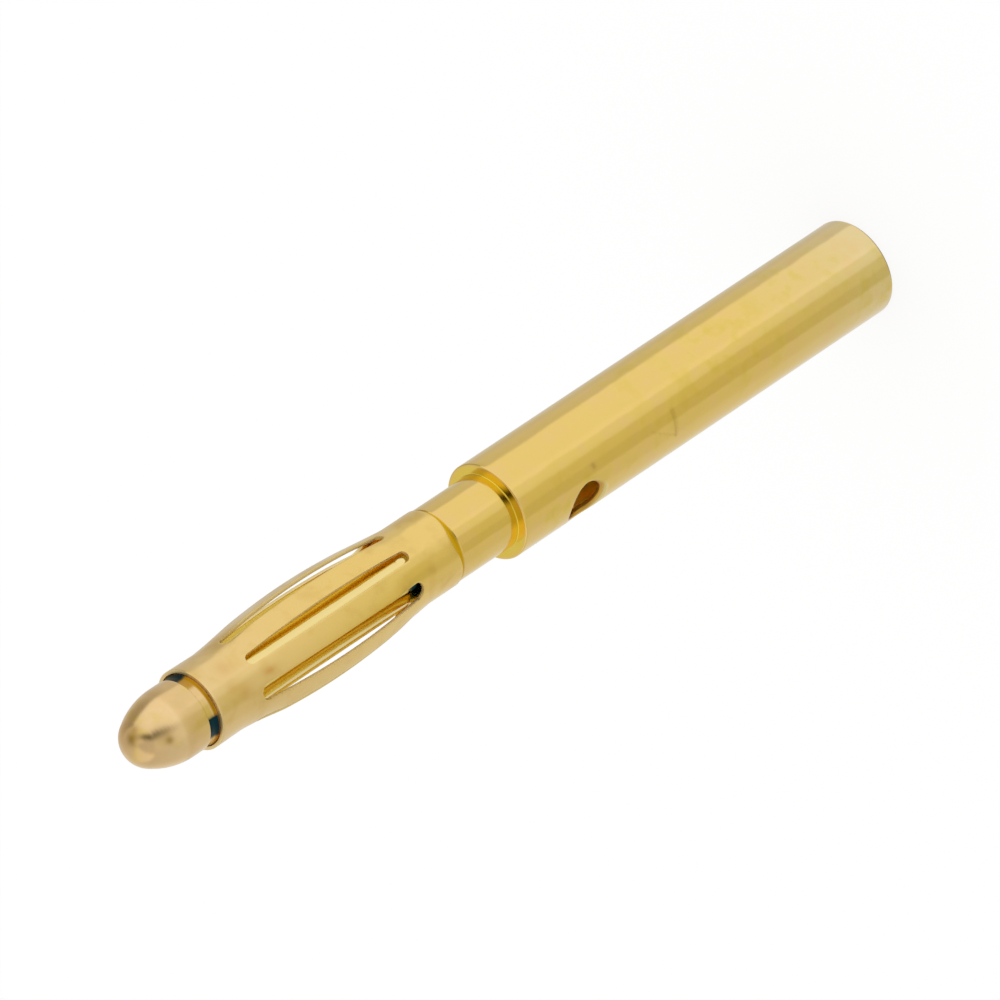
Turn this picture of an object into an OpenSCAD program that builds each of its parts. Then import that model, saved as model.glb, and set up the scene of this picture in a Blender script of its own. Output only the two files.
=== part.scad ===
// Stackable banana plug: a gold-plated contact that stands on its rear end, with the nose up along +Z.
// One turned body carries a rolled lantern spring, and its barrel is a socket for the next plug.
// All sizes are in millimetres and degrees. The origin is the centre of the rear face.

/* [Barrel and socket] */
// Diameter of the rear socket, which takes the pin of another plug
socket_d = 4; // [3.6:0.05:5]
// Wall of the barrel round the socket
barrel_wall = 0.4; // [0.3:0.05:0.8]
// Depth of the socket's straight wall
socket_depth = 22.4; // [16:0.2:30]
// Metal from the end of the socket's straight wall to the shoulder
socket_floor = 2.65; // [2:0.05:6]
// Full angle of the drilled point at the bottom of the socket
drill_angle = 118; // [110:2:150]
// Chamfer at the mouth of the socket
mouth_break = 0.1; // [0.05:0.01:0.14]
// Chamfer on the outer rims of the barrel
rim_break = 0.1; // [0.04:0.01:0.14]
// Diameter of the side hole for the wire
wire_hole_d = 2.5; // [1:0.1:3]
// Distance from the edge of the wire hole to the end of the socket's straight wall
wire_hole_margin = 0.35; // [0.2:0.05:4]

/* [Neck and core] */
// Length of the neck in front of the shoulder
neck_length = 3.62; // [1:0.01:8]
// Height by which the spring's rings stand proud of the neck
neck_step = 0.06; // [0.02:0.01:0.1]
// Length of the seat that the spring's rear ring grips
seat_grip = 1.4; // [0.8:0.1:2.2]
// Radial clearance of the spring's rear ring on its seat
seat_fit = 0.01; // [0.005:0.005:0.02]
// Lead-in chamfer at the front of the seat
seat_lead = 0.1; // [0.05:0.01:0.2]
// Radial room between the core and the spring, which the leaves bend into
core_room = 0.28; // [0.2:0.02:0.8]
// Length of the front seat inside the spring's front ring
front_grip = 1.4; // [0.6:0.1:1.5]

/* [Lantern spring] */
// Radial clearance of the spring's rings in the socket of another plug
stack_clearance = 0.05; // [0.03:0.01:0.15]
// Thickness of the spring's sheet
sheet = 0.16; // [0.1:0.01:0.3]
// Length of the front ring
front_ring = 2.56; // [1.8:0.02:5]
// Length of the windows between the rings
window_length = 10.41; // [6:0.01:18]
// Length of the rear ring
rear_ring = 2.46; // [2.2:0.02:5]
// Height of the leaves' bulge over the rings
bulge = 0.44; // [0.2:0.02:0.6]
// Distance by which the bulge runs on into each ring
bulge_run = 0.9; // [0.1:0.05:1]
// Power that shapes the bulge: higher is more pointed
bulge_power = 1.25; // [1:0.05:2]
// Number of leaves
leaf_count = 7; // [5:1:9]
// Width of each leaf, the same from end to end
leaf_width = 1.05; // [0.7:0.01:1.1]
// Width of the open seam, a slit through both rings in the middle of one window
seam_gap = 0.16; // [0.1:0.02:0.3]
// Direction of the seam
spring_turn = 140; // [-180:1:180]
// Gap between the spring's rear edge and the neck
spring_gap = 0.24; // [0.05:0.01:0.4]

/* [Nose] */
// Gap between the spring's front edge and the nose
nose_gap = 0.56; // [0.2:0.02:1.5]
// Radial clearance of the nose in the spring's rings, which slide over it
nose_clearance = 0.025; // [0.015:0.005:0.1]
// Length of the nose's straight part
nose_straight = 0.66; // [0.3:0.01:3]
// Height by which the nose stands proud of the front seat
nose_lip = 0.065; // [0.05:0.005:0.2]
// Radius of the round shoulder between the nose's straight part and its taper
nose_shoulder = 4; // [1:0.5:6]
// Angle of the nose's taper to the axis
nose_taper = 28; // [20:1:35]
// Length of the taper between the round shoulder and the round tip
taper_length = 0.18; // [0.1:0.02:0.8]
// Chamfer on the rear edge of the nose
nose_break = 0.03; // [0.02:0.005:0.045]

/* [Hidden] */
$fn = 96;
gold = "#d9b65c";
spring_gold = "#dcb862";
over = 1;                 // how far a cutter reaches past the metal
arc_steps = 14;           // steps along each round of the nose
bulge_steps = 16;         // steps along the bulge
end_flare = 0.8;          // extra half-angle of a window's round ends over its straight sides
socket_r = socket_d / 2;
barrel_r = socket_r + barrel_wall;
barrel_length = socket_depth + socket_floor;
wire_hole_z = socket_depth - wire_hole_margin - wire_hole_d / 2;
ring_r = socket_r - stack_clearance;
ring_bore_r = ring_r - sheet;
neck_r = ring_r - neck_step;
seat_r = ring_bore_r - seat_fit;
core_r = ring_bore_r - core_room;
nose_r = ring_bore_r - nose_clearance;
front_seat_r = nose_r - nose_lip;
neck_end = barrel_length + neck_length;
spring_z = neck_end + spring_gap;
spring_length = rear_ring + window_length + front_ring;
seat_end = spring_z + seat_grip;
spring_end = spring_z + spring_length;
front_seat_z = spring_end - front_grip;
nose_z = spring_end + nose_gap;
shoulder_z = nose_z + nose_straight;
shoulder_drop = nose_shoulder * (1 - cos(nose_taper));
tip_base_r = nose_r - shoulder_drop - taper_length * tan(nose_taper);
tip_base_z = shoulder_z + nose_shoulder * sin(nose_taper) + taper_length;
tip_r = tip_base_r / cos(nose_taper);
tip_centre_z = tip_base_z - tip_r * sin(nose_taper);
window_z = spring_z + rear_ring;
window_end_z = window_z + window_length;
bulge_z = window_z - bulge_run;
bulge_length = window_length + 2 * bulge_run;
pitch = 360 / leaf_count;
gap_apex = leaf_width / 2 / sin(pitch / 2); // radius at which the facing sides of two leaves would meet
cut_r = ring_r + bulge + over;

// Points of an arc about [centre_r, centre_z], from one angle to another
function arc_points(centre_r, centre_z, radius, from, to) = [
    for (i = [0 : arc_steps])
        let (a = from + (to - from) * i / arc_steps)
        [centre_r + radius * cos(a), centre_z + radius * sin(a)]
];

// Height of the bulge at a share s of its length: none at both ends and full in the middle
function bulge_at(s) = bulge * pow(max(0, 1 - pow(2 * s - 1, 2)), bulge_power);

// The bulge of a wall whose rings have radius r, from the rear to the front
function bulge_points(r) = [
    for (i = [0 : bulge_steps])
        let (s = i / bulge_steps)
        [r + bulge_at(s), bulge_z + s * bulge_length]
];

// One side of the spring's wall from end to end
function spring_side(r) = concat(
    [[r, spring_z]],
    bulge_points(r),
    [[r, spring_end]]
);

function reversed(points) = [for (i = [len(points) - 1 : -1 : 0]) points[i]];

// The space between two leaves, centred on +X, between two heights
module leaf_gap(low, high) {
    side = (cut_r - gap_apex) * tan(pitch / 2);
    translate([0, 0, low])
        linear_extrude(high - low)
            polygon([[gap_apex, 0], [cut_r, -side], [cut_r, side]]);
}

// A cone out along +X that rounds the end of the space between two leaves
module window_end(z) {
    reach = cut_r - gap_apex;
    translate([gap_apex, 0, z])
        rotate([0, 90, 0])
            cylinder(h = reach, r1 = 0, r2 = reach * tan(pitch / 2 + end_flare));
}

// A long window with round ends, centred on +X
module window_cut() {
    wall_r = ring_r + bulge_at(bulge_run / bulge_length);
    end_r = (wall_r - gap_apex) * tan(pitch / 2);
    leaf_gap(window_z + end_r, window_end_z - end_r);
    window_end(window_z + end_r);
    window_end(window_end_z - end_r);
}

// The slit through both rings, where the two ends of the rolled sheet meet
module seam_cut() {
    translate([core_r, -seam_gap / 2, spring_z - over])
        cube([cut_r - core_r, seam_gap, spring_length + 2 * over]);
}

// Turned from bar: barrel, shoulder, neck, rear seat, core, front seat and nose in one piece
module body_turning() {
    rotate_extrude()
        polygon(concat(
            [
                [0, 0],
                [barrel_r - rim_break, 0],
                [barrel_r, rim_break],
                [barrel_r, barrel_length - rim_break],
                [barrel_r - rim_break, barrel_length],
                [neck_r, barrel_length],
                [neck_r, neck_end],
                [seat_r, neck_end],
                [seat_r, seat_end - seat_lead],
                [seat_r - seat_lead, seat_end],
                [core_r, seat_end],
                [core_r, front_seat_z],
                [front_seat_r, front_seat_z],
                [front_seat_r, nose_z],
                [nose_r - nose_break, nose_z],
                [nose_r, nose_z + nose_break]
            ],
            arc_points(nose_r - nose_shoulder, shoulder_z, nose_shoulder, 0, nose_taper),
            arc_points(0, tip_centre_z, tip_r, nose_taper, 90)
        ));
}

// Drilled from the rear, with a chamfered mouth and a drill point at the bottom
module socket_drilling() {
    point_length = socket_r / tan(drill_angle / 2);
    mouth_r = socket_r + mouth_break;
    translate([0, 0, -over])
        cylinder(h = over + socket_depth, r = socket_r);
    translate([0, 0, socket_depth])
        cylinder(h = point_length, r1 = socket_r, r2 = 0);
    translate([0, 0, -mouth_break])
        cylinder(h = 2 * mouth_break, r1 = mouth_r + mouth_break, r2 = socket_r);
}

// Side hole through one wall of the barrel, along -Y
module wire_drilling() {
    translate([0, 0, wire_hole_z])
        rotate([90, 0, 0])
            cylinder(h = barrel_r + over, d = wire_hole_d);
}

module contact_body() {
    color(gold)
        difference() {
            body_turning();
            socket_drilling();
            wire_drilling();
        }
}

// Rolled from one sheet: two rings joined by bulged leaves, with an open seam from end to end
module lantern_spring() {
    color(spring_gold)
        rotate([0, 0, spring_turn])
            difference() {
                rotate_extrude()
                    polygon(concat(spring_side(ring_r), reversed(spring_side(ring_bore_r))));
                for (i = [0 : leaf_count - 1])
                    rotate([0, 0, i * pitch])
                        window_cut();
                seam_cut();
            }
}

contact_body();
lantern_spring();
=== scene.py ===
"""A stackable banana plug in gold-plated brass, standing on the rear end of its barrel with the nose up."""

import bpy
import numpy as np
from mathutils import Matrix


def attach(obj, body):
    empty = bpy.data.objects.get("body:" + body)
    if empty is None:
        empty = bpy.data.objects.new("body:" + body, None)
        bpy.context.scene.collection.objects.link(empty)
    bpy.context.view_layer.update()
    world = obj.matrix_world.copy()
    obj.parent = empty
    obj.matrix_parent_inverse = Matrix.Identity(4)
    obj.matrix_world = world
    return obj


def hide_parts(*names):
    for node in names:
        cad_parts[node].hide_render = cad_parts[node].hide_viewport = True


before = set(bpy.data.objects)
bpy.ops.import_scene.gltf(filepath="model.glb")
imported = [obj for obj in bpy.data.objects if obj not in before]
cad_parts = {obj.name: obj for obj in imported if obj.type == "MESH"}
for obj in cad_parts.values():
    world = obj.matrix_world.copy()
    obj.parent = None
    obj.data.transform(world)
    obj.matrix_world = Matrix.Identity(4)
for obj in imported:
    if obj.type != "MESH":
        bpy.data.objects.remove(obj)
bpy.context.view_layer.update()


# CONTACT BODY
# One piece of brass bar, turned to a barrel, neck, spring seat, thin core and bullet nose, then drilled
# from the rear for the next plug and from the side for the wire. Gold plating covers it all over.

MM = 0.001
SOCKET_R, SOCKET_END, SOCKET_MOUTH = 2.0, 22.4, 0.1
DRILL_HALF_ANGLE, DRILL_TIP_R = np.radians(59), 0.05
BARREL_R, BARREL_END = 2.4, 25.05
NECK_R, NECK_END, CORNER = 1.89, 28.67, 0.05
SEAT_R, SEAT_END, TAPER_END = 1.78, 30.9, 31.8
CORE_R, SLOPE = 1.56, 0.1
GUIDE_R, GUIDE_Z, GUIDE_END, GROOVE_R, GROOVE_Z = 1.785, 42.94, 44.3, 1.7, 44.55
NOSE_R, NOSE_Z, NOSE_STRAIGHT = 1.765, 44.9, 0.66
NOSE_SHOULDER, NOSE_TAPER, TAPER_LENGTH = 4.0, np.radians(28), 0.18
HOLE_R, HOLE_RIM, HOLE_Z, EDGE_DEPTH, BORE_EDGE = 1.01, 1.33, 20.77, 0.26, 0.04
HOLE_OFFSET, OFFSET_ANGLE = 0.12, np.radians(75)
PATCH_Z, PATCH_ANGLE, PATCH_CELLS, REST_CELLS = 1.55, np.radians(50), 32, 84
RIM_RINGS, BEND_RINGS, WALL_RINGS = 12, 10, 6
ROUND_STEPS, SHARP_ANGLE = 6, np.radians(32)
SEEN_FROM = np.radians(-23.5)


def turned_profile(corners):
    """Rows of (radius, height) along the turned outline. Each corner is (radius, height, round, rows after it).
    A corner with a round becomes the parabola (1-s)^2 A + 2s(1-s) P + s^2 B between the points A and B
    that lie round * tan(turn / 2) before and after it. The straight run to the next corner gets its rows."""
    spots = np.array([c[:2] for c in corners], float)
    step = np.diff(spots, axis=0)
    along = step / np.linalg.norm(step, axis=1, keepdims=True)
    cut = np.zeros(len(spots))
    turn = np.arccos(np.clip((along[:-1] * along[1:]).sum(1), -1, 1))
    cut[1:-1] = np.array([c[2] for c in corners[1:-1]]) * np.tan(turn / 2)
    before = spots - cut[:, None] * np.vstack([along[:1], along])
    after = spots + cut[:, None] * np.vstack([along, along[-1:]])
    rows = []
    for k, (_, _, size, count) in enumerate(corners):
        s = np.linspace(0, 1, ROUND_STEPS + 1)[:, None] if size else np.zeros((1, 1))
        rows.append((1 - s) ** 2 * before[k] + 2 * s * (1 - s) * spots[k] + s ** 2 * after[k])
        if k + 1 < len(corners):
            s = np.arange(1, count)[:, None] / count
            rows.append(after[k] + s * (before[k + 1] - after[k]))
    return np.vstack(rows)


def arc(centre_r, centre_z, radius, start, end, count):
    """Points (centre_r + radius cos a, centre_z + radius sin a) for a from start to end, the first left out."""
    a = np.linspace(start, end, count + 1)[1:]
    return np.stack([centre_r + radius * np.cos(a), centre_z + radius * np.sin(a)], axis=1)


def piece(name, points, faces, materials):
    """A smooth mesh object at the origin from points in millimetres and faces given as rows of indices."""
    mesh = bpy.data.meshes.new(name)
    mesh.from_pydata((points * MM).tolist(), [], faces)
    mesh.polygons.foreach_set("use_smooth", np.ones(len(mesh.polygons), bool))
    mesh.set_sharp_from_angle(angle=SHARP_ANGLE)
    for material in materials:
        mesh.materials.append(material)
    mesh.update()
    made = bpy.data.objects.new(name, mesh)
    bpy.context.scene.collection.objects.link(made)
    return made


def quads(index):
    """Faces of a grid of vertex numbers: index[i, j], index[i, j+1], index[i+1, j+1], index[i+1, j]."""
    return np.stack([index[:-1, :-1], index[:-1, 1:], index[1:, 1:], index[1:, :-1]], axis=-1)


def contact_body():
    """The outline turned about the axis, with the wire hole let into both walls of the barrel.
    Column angle t runs from the hole's side, so a point is (r sin t, -r cos t, z). Round the hole the grid is
    left out of both walls, and a line from each point of the outer gap's border runs over the hole's rounded edge,
    through the wall and out over the inner gap, so that the surface stays closed. At the angle a round the hole
    its inside has the radius HOLE_R + HOLE_OFFSET cos(a - OFFSET_ANGLE), a little off the middle of its rim."""
    patch_low, patch_high = HOLE_Z - PATCH_Z, HOLE_Z + PATCH_Z
    drill_tip = SOCKET_END + SOCKET_R / np.tan(DRILL_HALF_ANGLE)
    shoulder_z = NOSE_Z + NOSE_STRAIGHT
    tip_base_r = NOSE_R - NOSE_SHOULDER * (1 - np.cos(NOSE_TAPER)) - TAPER_LENGTH * np.tan(NOSE_TAPER)
    tip_base_z = shoulder_z + NOSE_SHOULDER * np.sin(NOSE_TAPER) + TAPER_LENGTH
    tip_r = tip_base_r / np.cos(NOSE_TAPER)
    tip_centre = tip_base_z - tip_r * np.sin(NOSE_TAPER)
    profile = turned_profile([
        (DRILL_TIP_R, drill_tip - DRILL_TIP_R / np.tan(DRILL_HALF_ANGLE), 0, 12),
        (SOCKET_R, SOCKET_END, 0.04, 1),
        (SOCKET_R, patch_high, 0, PATCH_CELLS),
        (SOCKET_R, patch_low, 0, 40),
        (SOCKET_R, SOCKET_MOUTH, 0.05, 2),
        (SOCKET_R + SOCKET_MOUTH, 0, 0.05, 2),
        (BARREL_R, 0, 0.12, 150),
        (BARREL_R, patch_low, 0, PATCH_CELLS),
        (BARREL_R, patch_high, 0, 10),
        (BARREL_R, BARREL_END, 0.08, 6),
        (NECK_R, BARREL_END, CORNER, 16),
        (NECK_R, NECK_END - SLOPE, 0.02, 3),
        (SEAT_R, NECK_END + SLOPE, 0, 6),
        (SEAT_R, SEAT_END, 0.1, 8),
        (CORE_R, TAPER_END, 0.1, 60),
        (CORE_R, GUIDE_Z, 0, 2),
        (GUIDE_R, GUIDE_Z, 0, 10),
        (GUIDE_R, GUIDE_END, 0, 3),
        (GROOVE_R, GROOVE_Z, 0, 10),
        (GROOVE_R, NOSE_Z, 0, 1),
        (NOSE_R, NOSE_Z, 0.035, 5),
        (NOSE_R, shoulder_z, 0, 1),
    ])
    ogive = arc(NOSE_R - NOSE_SHOULDER, shoulder_z, NOSE_SHOULDER, 0, NOSE_TAPER, 24)
    tip = arc(0, tip_centre, tip_r, NOSE_TAPER, np.pi / 2, 32)
    profile = np.vstack([profile, ogive, [[tip_base_r, tip_base_z]], tip[:-1]])

    patch = np.linspace(-PATCH_ANGLE, PATCH_ANGLE, PATCH_CELLS + 1)
    rest = np.linspace(PATCH_ANGLE, 2 * np.pi - PATCH_ANGLE, REST_CELLS + 1)[1:-1]
    turn = np.concatenate([patch, rest])
    r, z = profile[:, :1], profile[:, 1:]
    grid = np.stack([r * np.sin(turn), -r * np.cos(turn), z + 0 * turn], axis=-1)
    index = np.arange(grid.shape[0] * grid.shape[1]).reshape(grid.shape[:2])
    poles = [[0, 0, drill_tip], [0, 0, tip_centre + tip_r]]
    start_pole, end_pole = index.size, index.size + 1

    cells = quads(np.hstack([index, index[:, :1]]))
    keep = np.ones(cells.shape[:2], bool)
    heights = profile[:, 1]
    inner = np.flatnonzero(np.isclose(heights, patch_high))[0]
    outer = np.flatnonzero(np.isclose(heights, patch_low))[-1]
    for first in (inner, outer):
        keep[first:first + PATCH_CELLS, :PATCH_CELLS] = False
    near_drill = np.append(index[0], index[0, 0])
    near_tip = np.append(index[-1], index[-1, 0])
    fans = [
        np.stack([np.full(len(turn), start_pole), near_drill[1:], near_drill[:-1]], axis=1),
        np.stack([near_tip[:-1], near_tip[1:], np.full(len(turn), end_pole)], axis=1),
    ]

    def border(first, upward):
        """Vertex numbers round a gap, anticlockwise from its lower left corner as seen from outside."""
        block = index[first:first + PATCH_CELLS + 1, :PATCH_CELLS + 1]
        block = block if upward else block[::-1]
        return np.concatenate([block[0, :-1], block[:-1, -1], block[-1, :0:-1], block[:0:-1, 0]])

    outer_border, inner_border = border(outer, True), border(inner, False)
    edge = grid.reshape(-1, 3)[outer_border]
    edge_turn = np.arctan2(edge[:, 0], -edge[:, 1])
    a = np.arctan2((edge[:, 2] - HOLE_Z) / PATCH_Z, edge_turn / PATCH_ANGLE)

    def wall_ring(radius, hole, share):
        """A ring on a wall: the hole's edge at share 0 and the gap's border at share 1, mixed in angle and height."""
        hole_turn = np.arcsin(hole * np.cos(a) / radius)
        t = hole_turn + share * (edge_turn - hole_turn)
        height = HOLE_Z + hole * np.sin(a) * (1 - share) + share * (edge[:, 2] - HOLE_Z)
        return np.stack([radius * np.sin(t), -radius * np.cos(t), height], axis=1)

    def hole_ring(radius, hole, depth):
        """A ring in the hole, depth below the wall of the given radius: y = -(sqrt(radius^2 - x^2) - depth)."""
        x = hole * np.cos(a)
        return np.stack([x, depth - np.sqrt(radius ** 2 - x ** 2), HOLE_Z + hole * np.sin(a)], axis=1)

    inside = HOLE_R + HOLE_OFFSET * np.cos(a - OFFSET_ANGLE)
    shares = np.linspace(1, 0, RIM_RINGS + 1)[1:] ** 1.5
    bends = np.linspace(0, np.pi / 2, BEND_RINGS + 1)[1:]
    rings = [wall_ring(BARREL_R, HOLE_RIM, share) for share in shares]
    for bend in bends:
        hole = HOLE_RIM - (HOLE_RIM - inside) * np.sin(bend)
        rings.append(hole_ring(BARREL_R, hole, EDGE_DEPTH * (1 - np.cos(bend))))
    top, bottom = rings[-1], hole_ring(SOCKET_R, inside, -BORE_EDGE)
    rings += [top + share * (bottom - top) for share in np.linspace(0, 1, WALL_RINGS + 1)[1:]]
    for bend in bends:
        hole = inside + BORE_EDGE * (1 - np.cos(bend))
        rings.append(hole_ring(SOCKET_R, hole, -BORE_EDGE * (1 - np.sin(bend))))
    rings += [wall_ring(SOCKET_R, inside + BORE_EDGE, share) for share in shares[::-1][1:]]

    count = len(outer_border)
    ring_index = end_pole + 1 + np.arange(len(rings) * count).reshape(len(rings), count)
    tube = np.vstack([outer_border, ring_index, inner_border])
    tube = quads(np.hstack([tube, tube[:, :1]])).reshape(-1, 4)
    points = np.vstack([grid.reshape(-1, 3), poles, *rings])
    faces = cells[keep].tolist() + tube.tolist() + [face for fan in fans for face in fan.tolist()]
    return points, faces


def linear(text):
    """An sRGB hex colour as linear red, green, blue and alpha: c/12.92, or ((c + 0.055) / 1.055)^2.4 above 0.04045."""
    c = np.array([int(text[i:i + 2], 16) for i in (1, 3, 5)]) / 255
    return (*np.where(c > 0.04045, ((c + 0.055) / 1.055) ** 2.4, c / 12.92).tolist(), 1.0)


def add(tree, kind, links=(), **settings):
    """Adds a node. Links pairs each input, by name or number, with an output or a plain value."""
    node = tree.nodes.new("ShaderNode" + kind)
    for name, value in settings.items():
        setattr(node, name, value)
    for socket, source in dict(links).items():
        if isinstance(source, bpy.types.NodeSocket):
            tree.links.new(source, node.inputs[socket])
        else:
            node.inputs[socket].default_value = source
    return node


def colour_stops(ramp, stops, low, high):
    """Puts (place, colour) pairs on a ramp node, whose ends stand for the places low and high."""
    for _ in stops[2:]:
        ramp.color_ramp.elements.new(1.0)
    for stop, (place, colour) in zip(ramp.color_ramp.elements, stops):
        stop.position = (place - low) / (high - low)
        stop.color = linear(colour)


def smooth(x, low, high):
    """Goes from 0 at low to 1 at high as 3s^2 - 2s^3. Low may be the greater of the two."""
    s = np.clip((x - low) / (high - low), 0, 1)
    return s * s * (3 - 2 * s)


def span(x, start, full, fade, end):
    """Rises from 0 at start to 1 at full, and falls from 1 at fade to 0 at end."""
    return smooth(x, start, full) * smooth(x, end, fade)


def turn_from_view(x, y):
    """Angle in degrees about the axis from the side that the photo shows, clockwise as seen from the nose."""
    return np.degrees((SEEN_FROM - np.arctan2(y, x) + np.pi) % (2 * np.pi) - np.pi)


def mark(made, name, values):
    """Gives each vertex a number that the material reads."""
    made.data.attributes.new(name, "FLOAT", "POINT").data.foreach_set("value", values.astype(np.float32))


def body_marks(points):
    """Shares from 0 to 1, by name, of what the plating shows in places. Most are painted light: the core painted
    paler, a painted highlight and painted shade in the wire hole, a deep yellow painted reflection at the shoulder,
    painted shade in the grooves and dark painted shadow in crevices; the rest are the dull bore, scuffs and painted
    reflections of the camera on the nose. Each is a product of smooth steps in the angle from the seen side, the
    height, the radius and the depth below the barrel's surface. Scuffs are bells exp(-d^2 / width^2) in the distance d
    from a short line on the barrel, and a painted reflection is one in the distance from a point on the nose."""
    x, y, z = points.T
    turn, r = turn_from_view(x, y), np.hypot(x, y)
    depth = BARREL_R - r

    # The core between the leaves is painted paler: painted light for what reaches it through the windows.
    core = (z > SEAT_END + 0.1) & (z < GUIDE_Z + 0.001) & (r < SEAT_R - 0.02)
    bore = (z < SOCKET_END + 1.3) * smooth(z, 0.02, 0.3) * smooth(r, SOCKET_R + 0.04, SOCKET_R + 0.005)

    # A painted highlight on the rear upper wall of the wire hole, and painted shade in amber over the rest of its
    # wall.
    in_hole = (abs(z - HOLE_Z) < PATCH_Z) * (depth > 0.003) * smooth(r, SOCKET_R + 0.005, SOCKET_R + 0.03)
    rearward = (HOLE_Z - z - 0.3 * x) / HOLE_RIM
    hole_highlight = in_hole * smooth(depth, 0.18, 0.06) * smooth(rearward, 0.5, 0.85)
    hole_wall_shade = in_hole * smooth(depth, 0.01, 0.1) * (1 - hole_highlight)

    # Deep yellow painted reflection where the shoulder face and the neck mirror each other.
    on_neck = (z > BARREL_END + 0.01) * smooth(z, BARREL_END + 0.45, BARREL_END + 0.1) * (r < NECK_R + 0.002)
    on_face = (abs(z - BARREL_END) < 0.06) * smooth(depth, 0.04, 0.2) * (r > NECK_R - 0.001)

    # Painted shade: deeper gold in the groove at the spring's rear edge, and amber in the groove behind the nose.
    rear_groove = (z > NECK_END - SLOPE - 0.001) & (z < NECK_END + 0.5) & (r < NECK_R - 0.004)
    front_groove = (z > GUIDE_END - 0.001) & (z < NOSE_Z + 0.001) & (r < NOSE_R - 0.01 + 0.03 * (z < GROOVE_Z))
    groove_shade = front_groove * np.maximum(0.8 * smooth(turn, -24, -32), z < GROOVE_Z - 0.001)
    # Dark navy painted shadow in the crevices of the nose groove and at the rear ends of the windows.
    groove_shadow = front_groove * np.maximum(span(turn, 24, 29, 60, 68), span(turn, -100, -90, -54, -48))
    window_end = (z > SEAT_END) * smooth(z, TAPER_END + 0.15, TAPER_END - 0.05) * (r < SEAT_R + 0.01)
    window_shadow = window_end * span(turn, 24, 32, 56, 66)

    # angles of both ends, heights of both ends, width, strength
    scuffs = [
        (22, 24, 20.34, 20.3, 0.13, 0.35), (19, 50, 14.95, 15.0, 0.1, 0.3), (30, 50, 16.4, 15.0, 0.07, 0.15),
    ]
    # Dark spots on the nose: painted reflections, chiefly of the camera. They share one mark with the scuffs on the
    # barrel.
    # angle, height, radius, width, strength
    camera_reflections = [
        (-32, 48.15, 0.69, 0.28, 0.8), (-42, 47.9, 1.0, 0.24, 0.5), (24, 47.05, 1.48, 0.2, 0.6),
        (12, 47.2, 1.4, 0.4, 0.3),
    ]
    scuff_and_reflection = np.zeros(len(z))
    for start, end, low, high, width, strength in scuffs:
        share = np.clip((turn - start) / (end - start), 0, 1)
        aside = np.radians(turn - start - share * (end - start)) * BARREL_R
        ahead = z - low - share * (high - low)
        scuff_and_reflection += strength * np.exp(-(aside ** 2 + ahead ** 2) / width ** 2) * (depth < 0.01)
    for angle, height, radius, width, strength in camera_reflections:
        aside_squared = r ** 2 + radius ** 2 - 2 * r * radius * np.cos(np.radians(turn - angle))
        scuff_and_reflection += strength * np.exp(-(aside_squared + (z - height) ** 2) / width ** 2)

    return {
        "pale": core + hole_highlight, "painted_yellow_reflection": np.maximum(0.85 * on_neck, 0.55 * on_face), "brown": rear_groove,
        "amber": groove_shade + 0.75 * hole_wall_shade, "painted_shadow": groove_shadow + window_shadow, "bore": bore, "scuff_and_reflection": scuff_and_reflection,
    }


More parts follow.
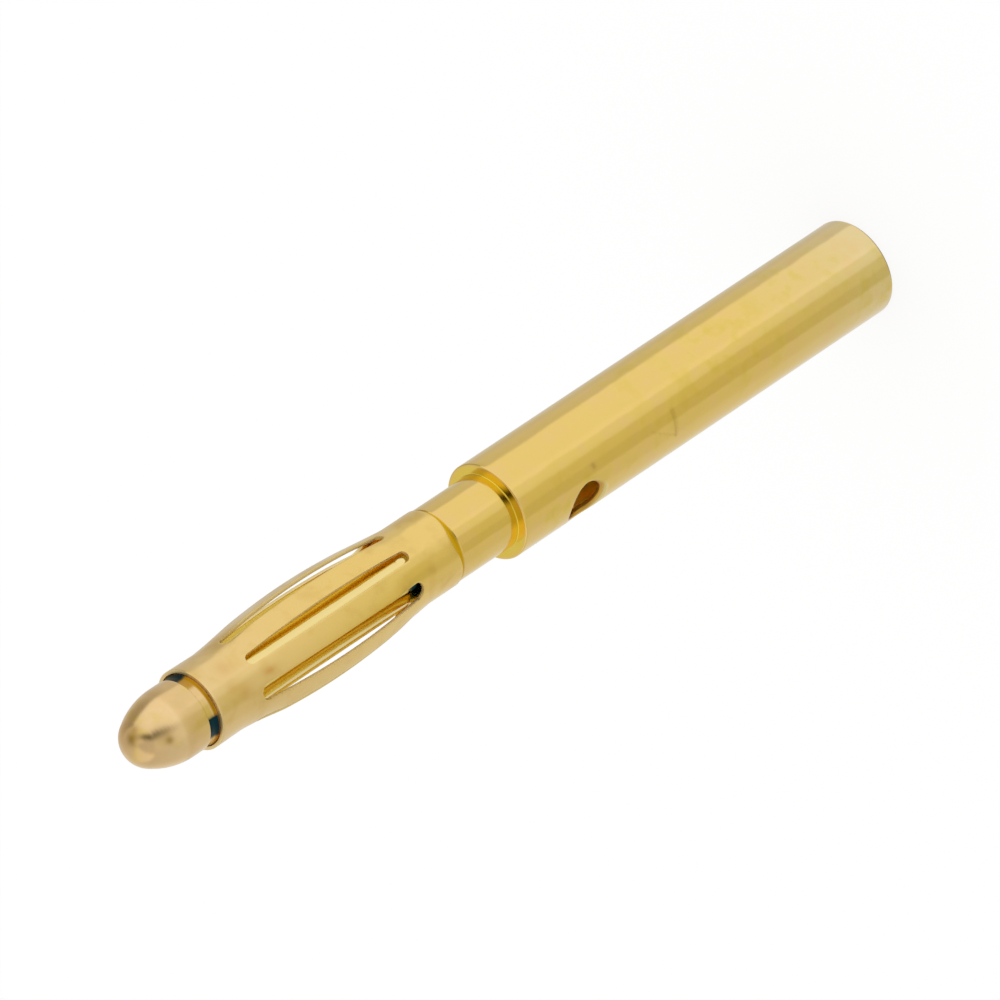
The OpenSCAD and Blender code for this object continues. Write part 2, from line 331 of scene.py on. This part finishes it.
def gold_plated_brass():
    """Gold plating on turned brass: bright, warm metal that mirrors the room. The plating is paler toward both ends,
    a little blotched, dull in the drilled bores and finely grooved by the lathe. Painted light is mixed into its
    colour:
    a paler core and a painted highlight in the hole, a deep yellow painted reflection at the shoulder, painted shade
    in the grooves and on the hole's wall, dark painted shadow in crevices and painted reflections of the camera on the
    nose, beside scuffs. The grooves are drawn 0.16 mm apart, coarser than the real ones, so that they show."""
    tones_end, groove_step = 48.4, 0.16
    material = bpy.data.materials.new("gold_plated_brass")
    material.use_nodes = True
    tree = material.node_tree
    shader = tree.nodes["Principled BSDF"]
    place = add(tree, "TexCoord").outputs["Object"]
    height = add(tree, "SeparateXYZ", {0: place}).outputs["Z"]
    along = add(tree, "MapRange", {0: height, 1: 0.0, 2: tones_end * MM}).outputs[0]
    tones = add(tree, "ValToRGB", {0: along})
    colour_stops(tones, [
        (0, "#e8d29e"), (3.5, "#e9ce8a"), (9, "#eccc78"), (27, "#eccb76"), (30, "#ebc97e"), (44.9, "#e5c48b"),
        (46.1, "#e2c088"), (46.25, "#efcf98"), (47.4, "#ecca94"), (tones_end, "#d9b886"),
    ], 0, tones_end)
    blotches = add(tree, "TexNoise", {"Vector": place, "Scale": 1 / (0.9 * MM), "Detail": 3.0}).outputs["Fac"]
    patches = add(tree, "TexNoise", {"Vector": place, "Scale": 1 / (4.5 * MM), "Detail": 1.0}).outputs["Fac"]
    patchy = add(tree, "MapRange", {0: patches, 1: 0.4, 2: 0.6, 3: 0.0, 4: 0.4}).outputs[0]
    spotted = add(tree, "MapRange", {0: blotches, 1: 0.5, 2: 0.68}).outputs[0]
    yellow = add(tree, "Math", {0: patchy, 1: spotted}, operation="MULTIPLY").outputs[0]
    colour = add(tree, "Mix", {0: yellow, 6: tones.outputs[0], 7: linear("#dcc044")}, data_type="RGBA").outputs[2]
    rosy = add(tree, "MapRange", {0: blotches, 1: 0.5, 2: 0.3, 3: 0.0, 4: 0.45}).outputs[0]
    colour = add(tree, "Mix", {0: rosy, 6: colour, 7: linear("#ecc68a")}, data_type="RGBA").outputs[2]
    # Tints mixed over the plating by their shares: most are painted light and shade (paler core and painted highlight,
    # deep yellow painted reflection, painted shade in grooves, dark painted shadow in crevices), then the dull bore,
    # and scuffs with painted reflections of the camera.
    tints = {
        "pale": "#f0da94", "painted_yellow_reflection": "#edd23e", "brown": "#dcae1a", "amber": "#bd8a12", "painted_shadow": "#12343f",
        "bore": "#fff07c", "scuff_and_reflection": "#94720c",
    }
    shares = {name: add(tree, "Attribute", attribute_name=name).outputs["Fac"] for name in tints}
    for name, tint in tints.items():
        colour = add(tree, "Mix", {0: shares[name], 6: colour, 7: linear(tint)}, data_type="RGBA").outputs[2]
    tree.links.new(colour, shader.inputs["Base Color"])
    shader.inputs["Metallic"].default_value = 1.0

    worn = add(tree, "MapRange", {0: blotches, 1: 0.3, 2: 0.7, 3: 0.09, 4: 0.15}).outputs[0]
    nose_low, nose_high = NOSE_Z * MM, (NOSE_Z + 1.1) * MM
    on_nose = add(tree, "MapRange", {0: height, 1: nose_low, 2: nose_high, 3: 0.0, 4: 0.12}).outputs[0]
    outside = add(tree, "Math", {0: worn, 1: on_nose}).outputs[0]
    grooves = add(tree, "Math", {0: shares["brown"], 1: shares["amber"]}, use_clamp=True).outputs[0]
    dull = add(tree, "Mix", {0: grooves, 2: outside, 3: 0.45}).outputs[0]
    rough = add(tree, "Mix", {0: shares["bore"], 2: dull, 3: 0.85}).outputs[0]
    tree.links.new(rough, shader.inputs["Roughness"])

    # the bands of a wave texture repeat every 2 pi / 20 at scale 1
    waves = add(tree, "TexNoise", {"Vector": place, "Scale": 1 / (1.8 * MM), "Detail": 2.0}).outputs["Fac"]
    wavy = add(tree, "Bump", {"Height": waves, "Distance": 0.03 * MM, "Strength": 0.8}).outputs[0]
    lathe = add(tree, "TexWave", {
        "Vector": place, "Scale": 2 * np.pi / 20 / (groove_step * MM), "Distortion": 3.0, "Detail": 2.0,
        "Detail Scale": 0.3,
    }, bands_direction="Z").outputs["Fac"]
    grooved = add(tree, "Bump", {"Height": lathe, "Distance": 0.001 * MM, "Strength": 0.5, "Normal": wavy}).outputs[0]
    tree.links.new(grooved, shader.inputs["Normal"])
    return material


body_points, body_faces = contact_body()
body = piece("turned_body", body_points, body_faces, [gold_plated_brass()])
for name, values in body_marks(body_points).items():
    mark(body, name, values)
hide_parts("contact_body")
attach(body, "root")


# LANTERN SPRING
# A sheet of spring alloy, stamped with seven windows, rolled to a sleeve with an open seam and bulged so that
# its seven leaves press on a socket's wall. Its rear ring grips the seat, and its front ring is free to slide.

SPRING_Z, REAR_RING, WINDOW, FRONT_RING = 28.91, 2.46, 10.41, 2.56
RING_R, SHEET, SHEET_EDGE, EDGE_ANGLE, FLARE = 1.95, 0.16, 0.025, np.radians(50), 0.03
BULGE, BULGE_POWER, BULGE_RUN = 0.41, 1.25, 0.9
REAR_GAP, WAVE, WAVE_TURN, WAVE_WIDTH = 0.09, 0.23, 8, 26
SEAM, SEAM_GAP, LEAF_WIDTH = np.radians(143.6), 0.16, 1.05
LEAF_ANGLES = np.radians([172.2, 229.3, 272.5, 325.7, 370.8, 415.5, 472.5])
LEAF_TWIST = np.radians([1, -2, 2, 6, -1, 2, -1])
LEAF_FLATNESS, FLAT_FROM, FLAT_FULL = 0.75, 0.2, 2
LEAF_CELLS, GAP_CELLS, RING_ROWS, LEAF_ROWS = 10, 16, 18, 96


def lantern_sheet():
    """The outer face of the sheet as one grid of rings and leaves, at (r cos t, r sin t, z).
    The radius is the ring's plus bulge * (1 - (2s - 1)^2)^power over the share s of the bulge's length, with a small
    flare at the front. A leaf keeps its width w, so its edges are at its middle angle plus and minus asin(w / 2r).
    It is flatter than the rings: at the angle v and the distance x from its middle it stands out by
    flatness * r (1 / cos v - 1) - x tan twist. Every column lies at a share between two such edges, or between an
    edge and the slit of the seam. Between two leaves a ring ends on a half circle, so its rows run to
    z + e (1 - sin pi u) at the share u of the window's width 2e. The rear edge waves forward by a bell in the angle
    from the seen side."""
    window_low, window_high = SPRING_Z + REAR_RING, SPRING_Z + REAR_RING + WINDOW
    spring_end = window_high + FRONT_RING

    def wall(z):
        """Radius of the rings and of the middles of the leaves at the height z."""
        s = np.clip((z - window_low + BULGE_RUN) / (WINDOW + 2 * BULGE_RUN), 0, 1)
        return RING_R + BULGE * (1 - (2 * s - 1) ** 2) ** BULGE_POWER + FLARE * smooth(z, window_high, spring_end)

    middles = np.concatenate([LEAF_ANGLES, LEAF_ANGLES[:1] + 2 * np.pi])
    gaps = wall(window_low) * np.diff(middles) / 2 - LEAF_WIDTH / 2
    leaf_s = np.linspace(0, 1, LEAF_CELLS + 1)
    gap_u = np.arange(1, GAP_CELLS) / GAP_CELLS
    before_seam = np.linspace(0, 0.5, GAP_CELLS // 2 + 1)[1:]
    after_seam = np.linspace(0.5, 1, GAP_CELLS // 2 + 1)[:-1]

    def ring_depth(gap, u):
        """How far a ring reaches into a window of half width gap, at the share u of the window's width."""
        return gap * (1 - np.sin(np.pi * u))

    # each block of columns: from (angle, leaf half widths, slit half widths), to the same, share, depth, on a leaf
    seam_start, seam_end = (SEAM, 0, 1), (SEAM + 2 * np.pi, 0, -1)
    blocks = [(seam_start, (middles[0], -1, 0), -np.cos(np.pi * after_seam), ring_depth(gaps[-1], after_seam), 0)]
    for k, middle in enumerate(LEAF_ANGLES):
        blocks.append(((middle, -1, 0), (middle, 1, 0), leaf_s, gaps[k - 1] + leaf_s * (gaps[k] - gaps[k - 1]), 1))
        if k + 1 < len(LEAF_ANGLES):
            between = (1 - np.cos(np.pi * gap_u)) / 2
            blocks.append(((middle, 1, 0), (middles[k + 1], -1, 0), between, ring_depth(gaps[k], gap_u), 0))
    to_seam = 1 - np.cos(np.pi * before_seam)
    blocks.append(((LEAF_ANGLES[-1], 1, 0), seam_end, to_seam, ring_depth(gaps[-1], before_seam), 0))
    start = np.vstack([np.tile(block[0], (len(block[2]), 1)) for block in blocks]).T
    end = np.vstack([np.tile(block[1], (len(block[2]), 1)) for block in blocks]).T
    share = np.concatenate([block[2] for block in blocks])
    depth = np.concatenate([block[3] for block in blocks])
    on_leaf = np.concatenate([np.full(len(block[2]), block[4], bool) for block in blocks])
    twist = np.zeros(len(share))
    twist[on_leaf] = np.repeat(LEAF_TWIST, LEAF_CELLS + 1)

    def place(z):
        """Points of all columns at the heights z."""
        r = wall(z)
        half, slit = np.arcsin(LEAF_WIDTH / 2 / r), np.arcsin(SEAM_GAP / 2 / r)
        first = start[0] + start[1] * half + start[2] * slit
        t = first + share * (end[0] + end[1] * half + end[2] * slit - first)
        flat = smooth(np.minimum(z - window_low, window_high - z), FLAT_FROM, FLAT_FULL) * on_leaf
        side = 2 * share - 1
        lean = side * LEAF_WIDTH / 2 * np.tan(twist)
        r = r + flat * (LEAF_FLATNESS * r * (1 / np.cos(side * half) - 1) - lean)
        return np.stack([r * np.cos(t), r * np.sin(t), z], axis=-1)

    edge = place(SPRING_Z + 0 * share)
    turn = turn_from_view(edge[:, 0], edge[:, 1])
    rear_edge = NECK_END + REAR_GAP + WAVE * np.exp(-((turn - WAVE_TURN) / WAVE_WIDTH) ** 2)
    rows = np.linspace(0, 1, RING_ROWS + 1)[:, None]
    rear = place(rear_edge + rows * (window_low + depth - rear_edge))
    front = place(spring_end - rows * (FRONT_RING + depth))
    ring_count = rear.shape[0] * rear.shape[1]
    rear_index = np.arange(ring_count).reshape(rear.shape[:2])
    front_index = rear_index + ring_count
    rows = np.linspace(0, 1, LEAF_ROWS + 1)[1:-1, None]
    leaves = place(window_low + depth + rows * (WINDOW - 2 * depth))[:, on_leaf]
    leaf_index = 2 * ring_count + np.arange(leaves.shape[0] * leaves.shape[1]).reshape(leaves.shape[:2])
    points = np.vstack([part.reshape(-1, 3) for part in (rear, front, leaves)])
    faces = [quads(rear_index).reshape(-1, 4), quads(front_index[::-1]).reshape(-1, 4)]
    whole = np.vstack([rear_index[-1:, on_leaf], leaf_index, front_index[-1:, on_leaf]])
    for columns in np.split(whole, len(LEAF_ANGLES), axis=1):
        faces.append(quads(columns).reshape(-1, 4))
    return points, np.vstack(faces).tolist()


def spring_spots(points):
    """Small brown spots of tarnish, each a bell exp(-(x / width)^2 - (z / length)^2) about its middle."""
    x, y, z = points.T
    turn, r = turn_from_view(x, y), np.hypot(x, y)
    # angle, height, width, length, strength
    spots = [
        (13.3, 41.08, 0.15, 0.33, 0.5), (-22, 42.9, 0.4, 0.4, 0.25), (20, 42.6, 0.4, 0.35, 0.25),
        (6, 43.2, 0.3, 0.3, 0.2),
    ]
    share = np.zeros(len(z))
    for angle, height, width, length, strength in spots:
        aside = np.radians(turn - angle) * r
        share += strength * np.exp(-(aside / width) ** 2 - ((z - height) / length) ** 2)
    return share


def gold_plated_spring():
    """Gold plating on rolled spring sheet: a little paler and duller than the turned body, dull on the stamped edges
    and painted a bright deep yellow inside, painted light for what bounces between the leaves and the core."""
    tones_low, tones_high = 28.7, 44.4
    material = bpy.data.materials.new("gold_plated_spring")
    material.use_nodes = True
    tree = material.node_tree
    shader = tree.nodes["Principled BSDF"]
    coordinates = add(tree, "TexCoord")
    place = coordinates.outputs["Object"]
    height = add(tree, "SeparateXYZ", {0: place}).outputs["Z"]
    along = add(tree, "MapRange", {0: height, 1: tones_low * MM, 2: tones_high * MM}).outputs[0]
    tones = add(tree, "ValToRGB", {0: along})
    colour_stops(tones, [
        (tones_low, "#f0cf7e"), (34, "#eccb79"), (40, "#ebca82"), (tones_high, "#eacb90"),
    ], tones_low, tones_high)
    blotches = add(tree, "TexNoise", {"Vector": place, "Scale": 1 / (1.2 * MM), "Detail": 3.0}).outputs["Fac"]
    blotched = add(tree, "MapRange", {0: blotches, 1: 0.5, 2: 0.7, 3: 0.0, 4: 0.6}).outputs[0]
    outward = add(tree, "VectorMath", {0: place, 1: (1, 1, 0)}, operation="MULTIPLY").outputs[0]
    outward = add(tree, "VectorMath", {0: outward}, operation="NORMALIZE").outputs[0]
    normal = coordinates.outputs["Normal"]
    facing = add(tree, "VectorMath", {0: outward, 1: normal}, operation="DOT_PRODUCT").outputs["Value"]
    slant = add(tree, "Math", {0: facing}, operation="ABSOLUTE").outputs[0]
    stamped = add(tree, "MapRange", {0: slant, 1: 0.6, 2: 0.2}).outputs[0]
    # Painted light: the inner face is tinted a bright deep yellow for the light that bounces between the leaves and
    # the core.
    inside = add(tree, "MapRange", {0: facing, 1: -0.3, 2: -0.7}).outputs[0]
    spots = add(tree, "Attribute", attribute_name="spots").outputs["Fac"]
    colour = tones.outputs[0]
    for share, tint in [(blotched, "#deb866"), (spots, "#d08c3c"), (stamped, "#efd9a2"), (inside, "#fff196")]:
        colour = add(tree, "Mix", {0: share, 6: colour, 7: linear(tint)}, data_type="RGBA").outputs[2]
    tree.links.new(colour, shader.inputs["Base Color"])
    shader.inputs["Metallic"].default_value = 1.0
    worn = add(tree, "MapRange", {0: blotches, 1: 0.3, 2: 0.7, 3: 0.17, 4: 0.27}).outputs[0]
    rough = add(tree, "Mix", {0: inside, 2: worn, 3: 0.2}).outputs[0]
    rough = add(tree, "Mix", {0: stamped, 2: rough, 3: 0.5}).outputs[0]
    tree.links.new(rough, shader.inputs["Roughness"])
    return material


spring_points, spring_faces = lantern_sheet()
spring = piece("lantern_leaves", spring_points, spring_faces, [gold_plated_spring()])
mark(spring, "spots", spring_spots(spring_points))
sheet = spring.modifiers.new("sheet", "SOLIDIFY")
sheet.thickness, sheet.offset, sheet.use_even_offset = SHEET * MM, -1, True
edges = spring.modifiers.new("edges", "BEVEL")
edges.width, edges.segments = SHEET_EDGE * MM, 2
edges.limit_method, edges.angle_limit = "ANGLE", EDGE_ANGLE
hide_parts("lantern_spring")
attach(spring, "root")


# STAGE
# A plain white floor in a bright white tent. The metal mirrors the tent, which has soft grey panels round the plug
# and a dark opening for the camera.

FLOOR_HALF = 3.0
VIEW_AZIMUTH, VIEW_ELEVATION, VIEW_ROLL = np.radians([66.5, 35.96, -123.74])
LENS, SENSOR, DISTANCE, AIM = 432.0, 36.0, 538.14, np.array([0.05, 0.115, 24.08])
OPENING_LONG, OPENING_SHORT, OPENING_MIDDLE = 0.95, 0.34, (-0.05, 0.2, 0)

# White paper, lit so brightly that the camera sees a fifth of its shade and a clean white for the rest.
floor_points = np.array([[-1, -1, 0], [1, -1, 0], [1, 1, 0], [-1, 1, 0]]) * FLOOR_HALF / MM
white = bpy.data.materials.new("white_paper")
white.use_nodes = True
paper_tree = white.node_tree
paper = paper_tree.nodes["Principled BSDF"]
paper.inputs["Base Color"].default_value = linear("#f7f7f7")
paper.inputs["Roughness"].default_value = 0.9
glow = add(paper_tree, "Emission", {"Color": (1, 1, 1, 1), "Strength": 1.02})
straight = add(paper_tree, "LightPath").outputs["Is Camera Ray"]
clean = add(paper_tree, "Math", {0: straight, 1: 0.8}, operation="MULTIPLY").outputs[0]
seen = add(paper_tree, "MixShader", {0: clean, 1: paper.outputs[0], 2: glow.outputs[0]}).outputs[0]
paper_tree.links.new(seen, paper_tree.nodes["Material Output"].inputs["Surface"])
floor = piece("floor", floor_points, [(0, 1, 2, 3)], [white])
floor.visible_glossy = False

# Axes of the camera: back points at it from the plug, and level is its right before it is rolled.
toward = np.array([np.sin(VIEW_AZIMUTH), -np.cos(VIEW_AZIMUTH), 0])
level = np.array([np.cos(VIEW_AZIMUTH), np.sin(VIEW_AZIMUTH), 0])
back = np.cos(VIEW_ELEVATION) * toward + np.sin(VIEW_ELEVATION) * np.array([0, 0, 1])
upright = np.cross(back, level)
image_right = np.cos(VIEW_ROLL) * level + np.sin(VIEW_ROLL) * upright
image_up = np.cos(VIEW_ROLL) * upright - np.sin(VIEW_ROLL) * level

# The tent's panels, each with colours by the angle in degrees from the camera's side: low and high on the walls,
# and the roof. Mirrors see them, and everything else is lit by plain white.
PANELS = {
    "low": [
        (-180, "#d8d8d8"), (-132, "#d8d8d8"), (-116, "#e4e4e0"), (-92, "#e4e4e0"), (-87, "#fbfbf8"), (-24, "#fbfbf6"),
        (-18, "#ffffff"), (-11, "#ffffff"), (-8, "#eff0de"), (12, "#eeeedc"), (15, "#dddaae"), (36, "#dbd7aa"),
        (39, "#d0cc9c"), (60, "#d0cc9c"), (64, "#e0dec8"), (92, "#e0decc"), (104, "#e6e5de"), (180, "#e8e8e8"),
    ],
    "high": [
        (-180, "#e8e8e6"), (-132, "#bcb4a4"), (-112, "#a8a294"), (-94, "#a8a294"), (-87, "#ffffff"), (2, "#ffffff"),
        (10, "#eaeae6"), (45, "#e6e6e0"), (75, "#d6d6d2"), (120, "#d8d8d6"), (160, "#f0f0ee"), (180, "#f0f0ee"),
    ],
    "roof": [
        (-180, "#e4e2dc"), (-150, "#d4d2cc"), (-115, "#d4d2cc"), (-92, "#fcfaf4"), (-15, "#fcfaf4"), (12, "#d4d2cc"),
        (70, "#d4d2cc"), (90, "#fcfaf4"), (140, "#fcfaf4"), (165, "#e4e2dc"), (180, "#e4e2dc"),
    ],
}
world = bpy.data.worlds.new("tent")
bpy.context.scene.world = world
world.use_nodes = True
tree = world.node_tree
direction = add(tree, "TexCoord").outputs["Generated"]
rise = add(tree, "SeparateXYZ", {0: direction}).outputs["Z"]
near = add(tree, "VectorMath", {0: direction, 1: toward}, operation="DOT_PRODUCT").outputs["Value"]
left = add(tree, "VectorMath", {0: direction, 1: -level}, operation="DOT_PRODUCT").outputs["Value"]
azimuth = add(tree, "Math", {0: left, 1: near}, operation="ARCTAN2").outputs[0]
around = add(tree, "MapRange", {0: azimuth, 1: -np.pi, 2: np.pi}).outputs[0]
panels = {}
for name, stops in PANELS.items():
    ramp = add(tree, "ValToRGB", {0: around})
    colour_stops(ramp, stops, -180, 180)
    panels[name] = ramp.outputs[0]
tent = panels["low"]
for start, full, colour in [
    (-0.75, -0.15, panels["high"]), (0.36, 0.46, panels["roof"]), (-0.8, -0.9, linear("#9a9086")),
]:
    share = add(tree, "MapRange", {0: rise, 1: start, 2: full}, interpolation_type="SMOOTHSTEP").outputs[0]
    tent = add(tree, "Mix", {0: share, 6: tent, 7: colour}, data_type="RGBA").outputs[2]
long = add(tree, "VectorMath", {0: direction, 1: image_right / OPENING_LONG}, operation="DOT_PRODUCT")
short = add(tree, "VectorMath", {0: direction, 1: image_up / OPENING_SHORT}, operation="DOT_PRODUCT")
oval = add(tree, "CombineXYZ", {0: long.outputs["Value"], 1: short.outputs["Value"]}).outputs[0]
reach = add(tree, "VectorMath", {0: oval, 1: OPENING_MIDDLE}, operation="DISTANCE").outputs["Value"]
dark = add(tree, "MapRange", {0: reach, 1: 1.0, 2: 0.1}, interpolation_type="SMOOTHSTEP").outputs[0]
front = add(tree, "VectorMath", {0: direction, 1: back}, operation="DOT_PRODUCT").outputs["Value"]
in_front = add(tree, "MapRange", {0: front, 1: 0.0, 2: 0.2}).outputs[0]
opening = add(tree, "Math", {0: dark, 1: in_front}, operation="MULTIPLY").outputs[0]
tent = add(tree, "Mix", {0: opening, 6: tent, 7: linear("#3e3a0c")}, data_type="RGBA").outputs[2]
mirrored = add(tree, "LightPath").outputs["Is Glossy Ray"]
light = add(tree, "Mix", {0: mirrored, 6: (1, 1, 1, 1), 7: tent}, data_type="RGBA").outputs[2]
background = tree.nodes["Background"]
tree.links.new(light, background.inputs["Color"])
background.inputs["Strength"].default_value = 1.0

camera = bpy.data.objects.new("camera", bpy.data.cameras.new("camera"))
bpy.context.scene.collection.objects.link(camera)
bpy.context.scene.camera = camera
pose = np.eye(4)
pose[:3, 0], pose[:3, 1], pose[:3, 2] = image_right, image_up, back
pose[:3, 3] = (AIM + DISTANCE * back) * MM
camera.matrix_world = Matrix(pose.tolist())
camera.data.lens, camera.data.sensor_width = LENS, SENSOR

bpy.context.scene.view_settings.view_transform = "Standard"
# enough for the light that goes to and fro between the leaves and the core
bpy.context.scene.cycles.glossy_bounces = 12
